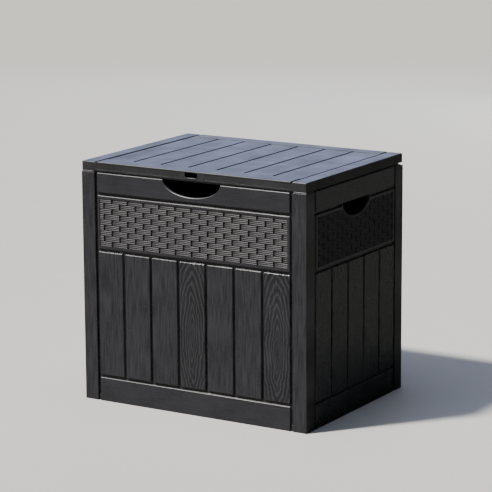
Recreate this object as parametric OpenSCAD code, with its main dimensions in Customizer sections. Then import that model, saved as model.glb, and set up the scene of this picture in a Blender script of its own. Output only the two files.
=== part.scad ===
// Knock-down deck storage box: four corner posts, four moulded wall panels, a floor tray and a hinged lid.
// Frame: origin on the ground under the middle of the box, +X to the right, +Y to the back, +Z up.

/* [Overall] */
// Width across the corner posts
box_w = 560; // [470:5:680]
// Depth across the corner posts
box_d = 425; // [350:5:520]
// Height to the top of the lid
box_h = 530; // [440:5:640]

/* [Walls] */
// Thickness of a moulded wall
wall = 3; // [2.4:0.1:3.6]
// Width of a corner post's face
post_w = 34; // [30:1:42]
// Width of the shadow gaps between planks, rails and posts
shadow_gap = 6; // [4:0.5:8]
// How far planks and rails stand out from the panel's web
relief = 5; // [4.5:0.25:7]
// Height of the bottom rail
bottom_rail_h = 53; // [45:1:80]
// Height of the top rail
top_rail_h = 43.5; // [40:0.5:60]
// Height of the woven band
weave_h = 117.5; // [80:0.5:150]
// Depth of the woven field below the panel's face
weave_drop = 3; // [2:0.25:3.5]
// Width of the plain border round the woven field
weave_border = 6; // [4:0.5:10]
// Planks on the front and back panels
long_planks = 7; // [5:1:9]
// Planks on the side panels
short_planks = 5; // [3:1:7]
// Clearance between pieces that slot together
fit = 0.2; // [0.15:0.05:0.4]

/* [Floor tray] */
// Height of the floor's upper face
floor_z = 14; // [12:1:24]
// Height of the lip that holds the panels from inside
lip_h = 14; // [10:1:24]
// Thickness of the tray's ribs
tray_rib = 2.4; // [2:0.2:3.2]

/* [Lid] */
// Height of the lid's skirt
lid_h = 20; // [18:0.5:26]
// Gap between the lid and the walls
parting = 3; // [2:0.5:4]
// How far the lid sits in from the walls' outer faces
lid_inset = 1.2; // [0.8:0.1:2]
// Thickness of the lid's top
lid_skin = 3; // [2.6:0.1:3.6]
// Thickness of the lid's skirt
skirt_t = 2.6; // [2.2:0.1:3]
// Width of the grooves in the lid
lid_groove_w = 4.5; // [3:0.5:6]
// Depth of the grooves in the lid
lid_groove_d = 3.6; // [1.5:0.1:4]
// Width of the plain rail along the lid's front
lid_rail = 42; // [28:1:60]
// Width of the plain rail along the lid's back
lid_back_rail = 34; // [28:1:60]
// How far the lid's plank field lies below its rails
field_drop = 0.8; // [0.4:0.1:1]
// Height of the rain lip above the walls
rain_lip_h = 15; // [12:0.5:16]
// Thickness of the lid's ribs
lid_rib = 2.2; // [1.8:0.1:3]

/* [Hinge] */
// Distance from the hinge axis to the lid's back face
hinge_back = 5; // [4.8:0.1:7]
// Height of the hinge axis above the lid's lower edge
hinge_up = 1; // [0.5:0.25:2]
// Angle at which the lid comes to rest on the back wall
stop_angle = 106; // [96:1:112]
// Radius of a knuckle
knuckle_r = 4.6; // [4.4:0.1:6]
// Radius of a hinge pin
pin_r = 2; // [1.6:0.1:2.5]
// Running clearance of a pin in its bores
pin_fit = 0.05; // [0.02:0.01:0.1]
// Length of a knuckle along the pin
knuckle_l = 12; // [9:1:20]
// Distance of a hinge from the middle of the box
hinge_x = 160; // [110:5:200]

/* [Grips and lock] */
// Half width of the front lift opening
grip_a = 71.5; // [55:0.5:85]
// Depth of the front lift opening
grip_b = 33; // [24:0.5:34]
// Half width of a side handle opening
hand_a = 60; // [50:0.5:70]
// Depth of a side handle opening
hand_b = 34; // [28:0.5:40]
// Reach of the front cup behind the panel
grip_reach = 24; // [20:1:30]
// Reach of a side cup behind the panel
hand_reach = 34; // [28:1:40]
// Wall of a cup
cup_wall = 2.2; // [1.8:0.1:3]
// Width of the padlock opening
lock_w = 31; // [22:1:40]
// Corner radius of the padlock opening
lock_r = 6; // [3:0.5:6]

/* [Hidden] */
$fn = 64;
over = 1;           // how far a cut runs past the face it opens
bond = 0.2;         // how far pieces of one moulding run into each other
resin = "#323236";
steel = "#9a9da0";

// Heights of the wall's bands
lid_z = box_h - lid_h;
rail_top = lid_z - parting;
rail_z = rail_top - top_rail_h;
weave_top = rail_z - shadow_gap;
weave_z = weave_top - weave_h;
plank_top = weave_z - shadow_gap;
plank_z = bottom_rail_h + shadow_gap;
rim_top = rail_top + rain_lip_h;
pad_in = 1.2;       // how far the lid's pads lie in from a post's faces
pad_gap = 0.05;

// Depths into a wall, from its outer face
web_in = relief + wall;
channel_in = web_in + fit;
slot_end = 18.2;    // where a post's slot for a panel's web ends
tongue_in = slot_end + 0.3;
field_in = post_w + shadow_gap;

// Hinge
axis_in = lid_inset + hinge_back;
axis_y = box_d / 2 - axis_in;
axis_z = lid_z + hinge_up;
past = stop_angle - 90;
shoulder_z = axis_z - (hinge_back + axis_in * sin(past)) / cos(past);
ear_gap = 0.5;
swing_room = 1;     // clearance round what swings with the lid
swing_r = norm([hinge_back, hinge_up]) + ear_gap;
swing_in = axis_in + swing_r * sin(past) + swing_room;
rear_rim_in = max(axis_in + knuckle_r + swing_room, swing_in, channel_in + wall + 2 * fit);
shelf_z = shoulder_z - wall;
ears = 5;
hinge_l = ears * knuckle_l + (ears - 1) * ear_gap;
pin_head = 3;       // room for a pin's head or cap at each end of a hinge
head_h = 1.5;       // a pin's head
head_over = 1.4;    // how far it stands past the pin all round
cap_h = 2;
cap_wall = 1.2;
cap_hold = 1.5;     // length of the pin inside its cap

// Lid
rib_z = lid_z + 4;
lid_under = box_h - lid_skin;
channel_wall = 2.4;
field_sink = 0.4;   // depth of the skirt's shallow fields
field_bar = 4;      // width of the bars between them
field_half = box_w / 2 - field_in;
plank_pitch = (2 * field_half + shadow_gap) / long_planks;
lip_room = 1.5;     // clearance between the rain lip and the lid's ribs
rib_back_in = axis_in + norm([rear_rim_in + wall - axis_in, rim_top - axis_z]) + lip_room;
lock_z = lid_z + 5.5;
lock_bar_z = rail_top + 8.5;
lock_top = lid_under - 0.8;
collar_w = 2.5;     // raised collar round the padlock opening
collar_h = 0.7;

// Screws
tray_in = wall + 2 * fit;    // edge of the floor tray, from the walls' outer faces
screw_r = 1.9;
screw_fit = 0.05;
through_fit = 0.15; // clearance of a screw in the piece it passes through
base_screw_l = 30;
seat_t = 2;         // thickness of the pads that the base screws' heads bear on
post_screw = 9.2;    // place of a post's screw boss, from both outer faces
boss_r = 4.5;
corner_screw_u = 26;
corner_screw_z = rail_z - 12;
lip_screw_z = floor_z + lip_h / 2 + 1;
lip_pad = 7;        // half width of the pads that the lip screws bite into
cup_flange = 12;
cup_screw_angle = 40;
cup_screw_bite = 1.8;
cup_step = 0.7;     // share of a cup's reach at which its outline steps in
cup_in_a = 0.86;    // shares of its half width and depth past that step
cup_in_b = 0.72;
hook_h = 20;        // how far a side cup's hollow rises behind the rail
hook_flange = 8;

function lerp(a, b, t) = a + (b - a) * t;
// Lower half of an ellipse, closed by a flat top that stands "rise" above its middle
function half_moon(a, b, rise = 0, steps = 28) = concat(
    [for (i = [0:steps]) let (t = 180 + 180 * i / steps) [a * cos(t), b * sin(t)]],
    rise > 0 ? [[a, rise], [-a, rise]] : []);

// ---- placing a wall: local x along it, local y inwards from its outer face ----
module on_front() { translate([0, -box_d / 2, 0]) children(); }
module on_back() { translate([0, box_d / 2, 0]) rotate([0, 0, 180]) children(); }
module on_left() { translate([-box_w / 2, 0, 0]) rotate([0, 0, -90]) children(); }
module on_right() { translate([box_w / 2, 0, 0]) rotate([0, 0, 90]) children(); }
// An outline in x and z, drawn out from y0 to y1
module slab(y0, y1) { translate([0, y1, 0]) rotate([90, 0, 0]) linear_extrude(y1 - y0) children(); }
module block(x0, x1, y0, y1, z0, z1) { translate([x0, y0, z0]) cube([x1 - x0, y1 - y0, z1 - z0]); }
// A screw from y = 0 inwards to -y: a pan head and a plain shank
module screw(length, head_r = 3.6, head_h = 2.2) {
    rotate([90, 0, 0]) cylinder(r = screw_r, h = length);
    rotate([-90, 0, 0]) cylinder(r = head_r, h = head_h);
}

// ---- wall panels ----
// Hollows behind a raised piece, as a grid of cells that leaves a face wall and ribs
module hollows(x0, x1, z0, z1, nx = 1, nz = 1, face = wall, open_bottom = false) {
    for (i = [0:nx - 1], k = [0:nz - 1]) {
        low = open_bottom && k == 0 ? z0 - over : lerp(z0, z1, k / nz) + wall / (k == 0 ? 1 : 2);
        high = lerp(z0, z1, (k + 1) / nz) - wall / (k == nz - 1 ? 1 : 2);
        left = lerp(x0, x1, i / nx) + wall / (i == 0 ? 1 : 2);
        right = lerp(x0, x1, (i + 1) / nx) - wall / (i == nx - 1 ? 1 : 2);
        block(left, right, face, web_in + over, low, high);
    }
}

// The part of a panel that all four share: web, rails, planks and woven band
module wall_panel(half, count, rail_high = rail_top) {
    field = half - field_in;
    pitch = (2 * field + shadow_gap) / count;
    difference() {
        union() {
            block(-(half - tongue_in), half - tongue_in, relief, web_in, floor_z + fit, rail_high);
            block(-field, field, 0, web_in, 0, bottom_rail_h);
            block(-field, field, 0, web_in, rail_z, rail_high);
            block(-field, field, 0, web_in, weave_z, weave_top);
            for (i = [0:count - 1]) let (x = -field + i * pitch)
                block(x, x + pitch - shadow_gap, 0, web_in, plank_z, plank_top);
        }
        block(-field - over, field + over, wall, web_in + over, -over, floor_z + fit);
        hollows(-field, field, 0, bottom_rail_h, count, 1, open_bottom = true);
        hollows(-field, field, rail_z, rail_high, count);
        hollows(-field, field, weave_z, weave_top, count, face = weave_drop + wall);
        for (i = [0:count - 1]) let (x = -field + i * pitch)
            hollows(x, x + pitch - shadow_gap, plank_z, plank_top, 1, 3);
        block(-field + weave_border, field - weave_border, -over, weave_drop,
            weave_z + weave_border, weave_top - weave_border);
        for (s = [-1, 1]) translate([s * (half - corner_screw_u), web_in + over, corner_screw_z])
            rotate([90, 0, 0]) cylinder(r = screw_r + screw_fit, h = wall + 2 * over);
    }
    // Pads behind the bottom rail that the lip screws bite into
    for (s = [-1, 1]) difference() {
        block(s * pitch - lip_pad, s * pitch + lip_pad, wall, web_in, floor_z + fit, floor_z + lip_h + lip_pad);
        translate([s * pitch, web_in + over, lip_screw_z])
            rotate([90, 0, 0]) cylinder(r = screw_r + screw_fit, h = wall + relief - 2);
    }
}

// The thickened land that a cup's flange sits on, and the throat of its opening
module cup_land(a, b, rise) {
    slab(relief, web_in) polygon(half_moon(a + cup_flange, b + cup_flange, rise + (rise > 0 ? cup_flange : 0)));
    slab(0, web_in) polygon(half_moon(a + wall, b + wall, rise + (rise > 0 ? wall : 0)));
}
module cup_screw_places(a, b) {
    x = (a + cup_flange / 2) * cos(cup_screw_angle);
    z = -(b + cup_flange / 2) * sin(cup_screw_angle);
    for (s = [-1, 1]) translate([s * x, 0, z]) children();
}
module cup_screw_holes(a, b) {
    cup_screw_places(a, b) translate([0, web_in + over, 0])
        rotate([90, 0, 0]) cylinder(r = screw_r + screw_fit, h = wall + over - 0.6);
}

module front_panel() {
    color(resin) on_front() difference() {
        union() {
            wall_panel(box_w / 2, long_planks);
            block(-(box_w / 2 - tongue_in), box_w / 2 - tongue_in, relief, web_in, rail_top, rim_top);
            translate([0, 0, rail_top]) cup_land(grip_a, grip_b, 0);
        }
        translate([0, 0, rail_top]) slab(-over, web_in + over) polygon(half_moon(grip_a, grip_b));
        translate([0, 0, rail_top]) cup_screw_holes(grip_a, grip_b);
        // The padlock's shackle passes over what is left of the rain lip here, and back out under the lid
        block(-lock_w / 2 - 1, lock_w / 2 + 1, 0, web_in + over, lock_bar_z, rim_top + over);
    }
}

module side_panel() {
    rim = box_d / 2 - tongue_in;
    difference() {
        union() {
            wall_panel(box_d / 2, short_planks);
            block(-rim, rim, relief, web_in, rail_top, rim_top);
            translate([0, 0, rail_z]) cup_land(hand_a, hand_b, 0.01);
        }
        translate([0, 0, rail_z]) slab(-over, web_in + over) polygon(half_moon(hand_a, hand_b));
        translate([0, 0, rail_z]) cup_screw_holes(hand_a, hand_b);
    }
}
module left_panel() { color(resin) on_left() side_panel(); }
module right_panel() { color(resin) on_right() side_panel(); }

// Places of a hinge's knuckles along the pin: even ones belong to the wall, odd ones to the lid
function ear_x(i) = -hinge_l / 2 + i * (knuckle_l + ear_gap);
module hinge_places() { for (s = [-1, 1]) translate([s * hinge_x, 0, 0]) children(); }
module pin_bore(length) {
    translate([-length / 2, axis_y, axis_z]) rotate([0, 90, 0]) cylinder(r = pin_r + pin_fit, h = length);
}
// A knuckle's outline lies in y and z, and the knuckle runs from x0 to x1
module knuckle(x0, x1) {
    translate([x0, axis_y, axis_z]) rotate([0, 90, 0]) cylinder(r = knuckle_r, h = x1 - x0);
}

module back_panel() {
    rim = box_w / 2 - tongue_in;
    shelf = box_w / 2 - post_w - fit;
    rim_y = box_d / 2 - rear_rim_in;
    color(resin) difference() {
        union() {
            on_back() wall_panel(box_w / 2, long_planks, shoulder_z);
            on_back() block(-shelf, shelf, relief, rear_rim_in + wall, shelf_z, shoulder_z);
            on_back() block(-rim, rim, rear_rim_in, rear_rim_in + wall, shelf_z, rim_top);
            hinge_places() for (i = [0:2:ears - 1]) {
                knuckle(ear_x(i), ear_x(i) + knuckle_l);
                block(ear_x(i), ear_x(i) + knuckle_l, rim_y - over, axis_y, shelf_z + over, axis_z);
                block(ear_x(i), ear_x(i) + knuckle_l, rim_y - over, axis_y, axis_z - over, axis_z + pin_r);
            }
        }
        hinge_places() pin_bore(hinge_l + 2 * over);
    }
}

// ---- corner posts ----
// Half of a post's section, along one face; the other half is its mirror image
module post_arm() {
    square([post_w, wall]);
    translate([post_w - wall, 0]) square([wall, relief - fit]);
    translate([channel_in, channel_in]) square([post_w - channel_in, wall]);
    translate([slot_end - wall, 0]) square([wall, channel_in + wall]);
}
module post_section() {
    post_arm();
    mirror([1, -1, 0]) post_arm();
    translate([post_screw, post_screw]) circle(r = boss_r);
}
// Walls only, for the stretch that covers the tray's edge
module post_skin() {
    square([post_w, wall]);
    square([wall, post_w]);
}
module base_screw_hole() {
    translate([post_screw, post_screw, 0]) cylinder(r = screw_r + screw_fit, h = floor_z + base_screw_l);
}
module corner_screw_holes() {
    for (m = [0, 1]) mirror([m, -m, 0]) translate([corner_screw_u, channel_in + wall + over, corner_screw_z])
        rotate([90, 0, 0]) cylinder(r = screw_r + screw_fit, h = wall + 2 * over);
}
// One post, its outer corner at the origin and its faces along +x and +y
module post() {
    difference() {
        union() {
            linear_extrude(rail_top) post_skin();
            translate([0, 0, floor_z + fit]) linear_extrude(rail_top - floor_z - fit) post_section();
            // Cap over the hollow corner
            block(0, slot_end, 0, slot_end, rail_top - wall, rail_top);
            block(0, post_w, 0, relief - fit, rail_top - wall, rail_top);
            block(0, relief - fit, 0, post_w, rail_top - wall, rail_top);
        }
        base_screw_hole();
        corner_screw_holes();
    }
}
module front_post() {
    post();
    // Pads that the closed lid's skirt rests on
    for (m = [0, 1]) mirror([m, -m, 0])
        block(pad_in, post_w - 2 * pad_in, pad_in, relief - fit, rail_top - over, lid_z - pad_gap);
    // Rain lip round the corner, between the panels' own lips
    block(relief, slot_end, relief, web_in, rail_top - over, rim_top);
    block(relief, web_in, relief, slot_end, rail_top - over, rim_top);
}
// The rear post's top steps down behind the hinge axis, where the lid's back edge swings
module rear_post(back_along_x) {
    module lip() {
        // Local y is the distance from the back wall's outer face
        block(relief, slot_end, rear_rim_in, rear_rim_in + wall, rail_top - over, rim_top);
        block(relief, web_in, rear_rim_in, slot_end, rail_top - over, rim_top);
    }
    module swing() {
        block(-over, post_w + over, -over, rear_rim_in - 0.5, shoulder_z, rail_top + over);
    }
    module seat() {
        block(0, slot_end, 0, rear_rim_in, shelf_z, shoulder_z);
    }
    difference() {
        union() {
            post();
            if (back_along_x) { lip(); seat(); }
            else mirror([1, -1, 0]) { lip(); seat(); }
        }
        if (back_along_x) swing(); else mirror([1, -1, 0]) swing();
    }
}
module at_corner(sx, sy) {
    angle = sx < 0 ? (sy < 0 ? 0 : 270) : (sy < 0 ? 90 : 180);
    translate([sx * box_w / 2, sy * box_d / 2, 0]) rotate([0, 0, angle]) children();
}
module front_left_post() { color(resin) at_corner(-1, -1) front_post(); }
module front_right_post() { color(resin) at_corner(1, -1) front_post(); }
module rear_left_post() { color(resin) at_corner(-1, 1) rear_post(false); }
module rear_right_post() { color(resin) at_corner(1, 1) rear_post(true); }

// ---- floor tray ----
module base_tray() {
    w = box_w - 2 * tray_in;
    d = box_d - 2 * tray_in;
    color(resin) difference() {
        union() {
            block(-w / 2, w / 2, -d / 2, d / 2, floor_z - wall, floor_z);
            difference() {
                block(-w / 2, w / 2, -d / 2, d / 2, 0, floor_z - over);
                block(-w / 2 + tray_rib, w / 2 - tray_rib, -d / 2 + tray_rib, d / 2 - tray_rib, -over, floor_z);
            }
            for (i = [1:long_planks - 1])
                block(-w / 2 + w * i / long_planks - tray_rib / 2, -w / 2 + w * i / long_planks + tray_rib / 2,
                    -d / 2 + over, d / 2 - over, 0, floor_z - over);
            for (i = [1:short_planks - 1])
                block(-w / 2 + over, w / 2 - over, -d / 2 + d * i / short_planks - tray_rib / 2,
                    -d / 2 + d * i / short_planks + tray_rib / 2, 0, floor_z - over);
            for (s = [-1, 1]) {
                lip_y = box_d / 2 - channel_in;
                lip_x = box_w / 2 - channel_in;
                long_half = box_w / 2 - post_w - 2;
                short_half = box_d / 2 - post_w - 2;
                mirror([0, s > 0 ? 0 : 1, 0])
                    block(-long_half, long_half, lip_y - tray_rib, lip_y, floor_z - over, floor_z + lip_h);
                mirror([s > 0 ? 0 : 1, 0, 0])
                    block(lip_x - tray_rib, lip_x, -short_half, short_half, floor_z - over, floor_z + lip_h);
            }
            for (sx = [-1, 1], sy = [-1, 1]) at_corner(sx, sy)
                translate([post_screw, post_screw, floor_z - wall - seat_t])
                    cylinder(r = post_screw - tray_in, h = seat_t + over);
        }
        for (sx = [-1, 1], sy = [-1, 1]) at_corner(sx, sy)
            translate([post_screw, post_screw, 0]) cylinder(r = screw_r + 2 * through_fit, h = floor_z + over);
        lip_screw_sites() translate([0, over, 0])
            rotate([90, 0, 0]) cylinder(r = screw_r + through_fit, h = tray_rib + 2 * over);
    }
}
// Where the lip screws pass through, local y pointing into the box from the lip's inner face
module lip_screw_sites() {
    module row(half, count) {
        pitch = (2 * (half - field_in) + shadow_gap) / count;
        for (s = [-1, 1]) translate([s * pitch, channel_in + tray_rib, lip_screw_z]) children();
    }
    on_front() row(box_w / 2, long_planks) children();
    on_back() row(box_w / 2, long_planks) children();
    on_left() row(box_d / 2, short_planks) children();
    on_right() row(box_d / 2, short_planks) children();
}

// ---- cups behind the openings ----
module cup_flange_plate(a, b, top) {
    difference() {
        slab(channel_in, channel_in + cup_wall) polygon(half_moon(a + cup_flange, b + cup_flange, top));
        slab(channel_in - over, channel_in + cup_wall + over) polygon(half_moon(a, b));
        cup_screw_places(a, b) translate([0, channel_in + cup_wall + over, 0])
            rotate([90, 0, 0]) cylinder(r = screw_r + through_fit, h = cup_wall + 2 * over);
    }
}
// A scoop's outline run back from the panel, in two steps that follow its rounded back
module scoop(a, b, reach, rise, t) {
    slab(channel_in, channel_in + reach * cup_step + t) polygon(half_moon(a + t, b + t, rise + t));
    slab(channel_in, channel_in + reach + t) polygon(half_moon(a * cup_in_a + t, b * cup_in_b + t, rise + t));
}
module front_grip_cup() {
    color(resin) on_front() translate([0, 0, rail_top]) difference() {
        union() {
            cup_flange_plate(grip_a, grip_b, 0);
            scoop(grip_a, grip_b, grip_reach, bond, cup_wall);
        }
        translate([0, -over, 0]) scoop(grip_a, grip_b, grip_reach + over, over, 0);
        block(-box_w / 4, box_w / 4, 0, box_d / 4, 0, lid_h);
    }
}
module hand_cup() {
    translate([0, 0, rail_z]) difference() {
        union() {
            cup_flange_plate(hand_a, hand_b, hook_flange);
            scoop(hand_a, hand_b, hand_reach, hook_h, cup_wall);
        }
        // The hollow rises behind the rail, so that fingers can hook over it
        translate([0, wall / 2, 0]) scoop(hand_a, hand_b, hand_reach - wall / 2, hook_h, 0);
        slab(channel_in - over, channel_in + cup_wall + over) polygon(half_moon(hand_a, hand_b, 0.01));
    }
}
module left_hand_cup() { color(resin) on_left() hand_cup(); }
module right_hand_cup() { color(resin) on_right() hand_cup(); }

// ---- lid ----
module lid_groove_lines(y0, y1, widen, z0, z1) {
    for (i = [1:long_planks - 1]) let (x = -field_half - shadow_gap / 2 + i * plank_pitch)
        block(x - lid_groove_w / 2 - widen, x + lid_groove_w / 2 + widen, y0, y1, z0, z1);
}
// The two grooves that run the whole depth of the lid
module lid_side_grooves(y_half, widen, z0, z1) {
    for (s = [-1, 1]) let (x = s * (field_half + shadow_gap / 2))
        block(x - lid_groove_w / 2 - widen, x + lid_groove_w / 2 + widen, -y_half, y_half, z0, z1);
}
// Shallow fields sunk into the skirt's front and back, with a raised bar at each rib
module skirt_fields() {
    clear = lock_w / 2 + 6;
    for (m = [0, 1], i = [0:long_planks - 1]) let (
            a = -field_half - shadow_gap / 2 + i * plank_pitch + field_bar / 2,
            b = a + plank_pitch - field_bar) mirror([0, m, 0]) {
        if (b < -clear || a > clear) sunk(a, b);
        else if (m == 0) { sunk(a, -clear); sunk(clear, b); }
        else sunk(a, b);
    }
    module sunk(a, b) {
        block(a, b, -box_d / 2, -box_d / 2 + lid_inset + field_sink, lid_z + 4, lid_under - 0.5);
    }
}
module lid_ribs() {
    front = -box_d / 2 + web_in + lip_room;
    back = box_d / 2 - rib_back_in;
    side = box_w / 2 - web_in - lip_room;
    for (i = [0:long_planks]) let (x = -field_half - shadow_gap / 2 + i * plank_pitch)
        block(x - lid_rib / 2, x + lid_rib / 2, front, back, rib_z, lid_under - 1);
    for (k = [0:short_planks]) let (y = lerp(front, back, k / short_planks))
        block(-side, side, y - (k == 0 ? 0 : lid_rib / 2), y + (k == short_planks ? 0 : lid_rib / 2),
            rib_z + 2, lid_under + bond);
}
// The padlock opening's outline: flat at the top and rounded below
module lock_outline(grow) {
    half = lock_w / 2 + grow;
    mid = lock_z + lock_r;
    for (m = [-1, 1]) translate([m * (half - lock_r - grow), mid]) intersection() {
        circle(r = lock_r + grow);
        translate([-box_w, -box_w]) square([2 * box_w, box_w]);
    }
    translate([-half + lock_r + grow, lock_z - grow]) square([2 * (half - lock_r - grow), lock_r + grow]);
    translate([-half, mid]) square([2 * half, lock_top + grow / 4 - mid]);
}
module lid() {
    w = box_w / 2 - lid_inset;
    d = box_d / 2 - lid_inset;
    color(resin) difference() {
        union() {
            difference() {
                block(-w, w, -d, d, lid_z, box_h);
                block(-w + skirt_t, w - skirt_t, -d + skirt_t, d - skirt_t, lid_z - over, lid_under);
            }
            lid_groove_lines(-box_d / 2 + lid_rail - channel_wall, box_d / 2 - lid_back_rail + channel_wall,
                channel_wall, lid_under - lid_groove_d, lid_under + bond);
            lid_side_grooves(d - over, channel_wall, lid_under - lid_groove_d, lid_under + bond);
            lid_ribs();
            // Raised collar round the padlock opening
            on_front() slab(lid_inset - collar_h, lid_inset + over) lock_outline(collar_w);
            hinge_places() for (i = [1:2:ears - 1]) {
                knuckle(ear_x(i), ear_x(i) + knuckle_l);
                block(ear_x(i), ear_x(i) + knuckle_l, axis_y - pin_r, axis_y + hinge_back - over,
                    axis_z, lid_under + bond);
            }
        }
        block(-field_half - shadow_gap / 2, field_half + shadow_gap / 2, -box_d / 2 + lid_rail,
            box_d / 2 - lid_back_rail, box_h - field_drop, box_h + over);
        lid_groove_lines(-box_d / 2 + lid_rail, box_d / 2 - lid_back_rail, 0,
            box_h - lid_groove_d, box_h + over);
        lid_side_grooves(box_d / 2, 0, box_h - lid_groove_d, box_h + over);
        skirt_fields();
        on_front() slab(-over, web_in + lip_room + lid_rib + over) lock_outline(0);
        // Room for the wall's knuckles
        hinge_places() for (i = [0:2:ears - 1])
            block(ear_x(i) - (i == 0 ? pin_head : ear_gap),
                ear_x(i) + knuckle_l + (i == ears - 1 ? pin_head : ear_gap),
                axis_y - knuckle_r - swing_room, box_d / 2, lid_z - over, axis_z + knuckle_r + swing_room);
        hinge_places() pin_bore(hinge_l + 2 * over);
    }
}

// ---- hinge pins ----
module hinge_pin(s) {
    color(steel) translate([s * (hinge_x + hinge_l / 2), axis_y, axis_z]) rotate([0, -s * 90, 0]) {
        cylinder(r = pin_r, h = hinge_l + cap_hold);
        translate([0, 0, -head_h]) cylinder(r = pin_r + head_over, h = head_h);
    }
}
// Push-on caps that keep the pins in
module pin_caps() {
    color(steel) for (s = [-1, 1])
        translate([s * (hinge_x - hinge_l / 2 - 0.1), axis_y, axis_z]) rotate([0, -s * 90, 0]) difference() {
            cylinder(r = pin_r + cap_wall, h = cap_h);
            translate([0, 0, -over]) cylinder(r = pin_r + 0.01, h = cap_hold + over);
        }
}
module hinge_pin_left() { hinge_pin(-1); }
module hinge_pin_right() { hinge_pin(1); }

// ---- screws ----
module base_screws() {
    color(steel) for (sx = [-1, 1], sy = [-1, 1]) at_corner(sx, sy)
        translate([post_screw, post_screw, floor_z - wall - seat_t])
            rotate([-90, 0, 0]) screw(base_screw_l, post_screw - tray_in - tray_rib - 0.1, 2.4);
}
module corner_screws() {
    color(steel) for (sx = [-1, 1], sy = [-1, 1]) at_corner(sx, sy)
        for (m = [0, 1]) mirror([m, -m, 0])
            translate([corner_screw_u, channel_in + wall, corner_screw_z]) screw(wall + fit + wall - 0.4);
}
module cup_screws() {
    module pair(a, b, z) {
        translate([0, 0, z]) cup_screw_places(a, b) translate([0, channel_in + cup_wall, 0])
            screw(cup_wall + fit + cup_screw_bite, 3.2);
    }
    color(steel) {
        on_front() pair(grip_a, grip_b, rail_top);
        on_left() pair(hand_a, hand_b, rail_z);
        on_right() pair(hand_a, hand_b, rail_z);
    }
}
module lip_screws() {
    color(steel) lip_screw_sites() screw(tray_rib + fit + wall + 1);
}

base_tray();
front_panel();
back_panel();
left_panel();
right_panel();
front_left_post();
front_right_post();
rear_left_post();
rear_right_post();
front_grip_cup();
left_hand_cup();
right_hand_cup();
lid();
hinge_pin_left();
hinge_pin_right();
pin_caps();
base_screws();
corner_screws();
cup_screws();
lip_screws();
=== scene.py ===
"""A deck storage box moulded in charcoal resin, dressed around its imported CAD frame.

Every wall, post and cup keeps its CAD shape and gets the small rounded edges that moulding gives it.
The woven bands and all surface grain are added here.
Lengths are in metres.
"""

import logging
import math
from dataclasses import dataclass
from enum import Enum

import bmesh
import bpy
from mathutils import Matrix, Vector


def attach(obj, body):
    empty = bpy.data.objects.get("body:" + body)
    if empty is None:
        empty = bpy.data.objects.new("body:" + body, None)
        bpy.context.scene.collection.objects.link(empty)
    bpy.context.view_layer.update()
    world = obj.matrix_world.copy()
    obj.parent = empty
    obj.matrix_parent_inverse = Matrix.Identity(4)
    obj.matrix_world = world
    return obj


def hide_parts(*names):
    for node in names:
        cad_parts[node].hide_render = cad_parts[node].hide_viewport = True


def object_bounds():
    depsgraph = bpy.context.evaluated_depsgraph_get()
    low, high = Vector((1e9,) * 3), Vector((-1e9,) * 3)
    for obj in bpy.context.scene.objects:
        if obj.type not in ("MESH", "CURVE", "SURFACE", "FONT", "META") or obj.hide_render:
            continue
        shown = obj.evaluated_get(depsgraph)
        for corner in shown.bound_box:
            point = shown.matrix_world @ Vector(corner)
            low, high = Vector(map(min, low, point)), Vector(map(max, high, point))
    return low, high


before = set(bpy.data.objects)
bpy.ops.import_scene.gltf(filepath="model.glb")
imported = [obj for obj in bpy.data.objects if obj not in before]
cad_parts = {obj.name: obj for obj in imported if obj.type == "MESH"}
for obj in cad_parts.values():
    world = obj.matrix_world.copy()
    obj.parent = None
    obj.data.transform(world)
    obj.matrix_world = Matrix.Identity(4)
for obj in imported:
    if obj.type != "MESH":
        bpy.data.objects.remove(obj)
CAD_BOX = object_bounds()

log = logging.getLogger("deck_box")
MM = 0.001

Tree = bpy.types.NodeTree
Node = bpy.types.Node
Socket = bpy.types.NodeSocket


class Wall(Enum):
    """A side of the box, by the turn about Z that takes the front wall to it."""

    FRONT = 0
    RIGHT = 90
    BACK = 180
    LEFT = 270

    @property
    def turn(self) -> Matrix:
        """The turn that takes a piece drawn on the front wall to this one."""
        return Matrix.Rotation(math.radians(self.value), 4, "Z")

    @property
    def is_long(self) -> bool:
        """Whether this wall runs along X."""
        return self in (Wall.FRONT, Wall.BACK)

    @property
    def title(self) -> str:
        """The wall's name in small letters."""
        return self.name.lower()

    @property
    def node(self) -> str:
        """The CAD node of this wall's panel."""
        return f"{self.title}_panel"


# ---------------------------------------------------------------- node helpers


def linear_rgb(hex_colour: str) -> tuple[float, float, float, float]:
    """Turns an sRGB colour to linear light.

    Args:
        hex_colour: six hex digits after a hash.

    Returns:
        Red, green, blue and alpha in linear light.
    """
    parts = [int(hex_colour[i : i + 2], 16) / 255 for i in (1, 3, 5)]
    linear = [c / 12.92 if c <= 0.04045 else ((c + 0.055) / 1.055) ** 2.4 for c in parts]
    return (*linear, 1.0)


def add_node(tree: Tree, kind: str, settings: dict | None = None, **inputs: object) -> Node:
    """Adds a node with its settings, values and links.

    Args:
        tree: the node tree it goes in.
        kind: the node's type name.
        settings: properties of the node itself.
        inputs: a value or an output socket for each input, by its name, or by its index after an underscore.

    Returns:
        The node.
    """
    node = tree.nodes.new(kind)
    for name, value in (settings or {}).items():
        setattr(node, name, value)
    for name, value in inputs.items():
        key = int(name[1:]) if name[0] == "_" else name.replace("_", " ")
        if isinstance(value, Socket):
            tree.links.new(value, node.inputs[key])
        else:
            node.inputs[key].default_value = value
    return node


def math_of(tree: Tree, operation: str, *values: object) -> Socket:
    """Adds a Math node.

    Args:
        tree: the node tree it goes in.
        operation: the Math node's operation.
        values: numbers or output sockets, in order.

    Returns:
        The node's output.
    """
    inputs = {f"_{i}": value for i, value in enumerate(values)}
    return add_node(tree, "ShaderNodeMath", {"operation": operation}, **inputs).outputs[0]


# ---------------------------------------------------------------- finishes


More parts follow.
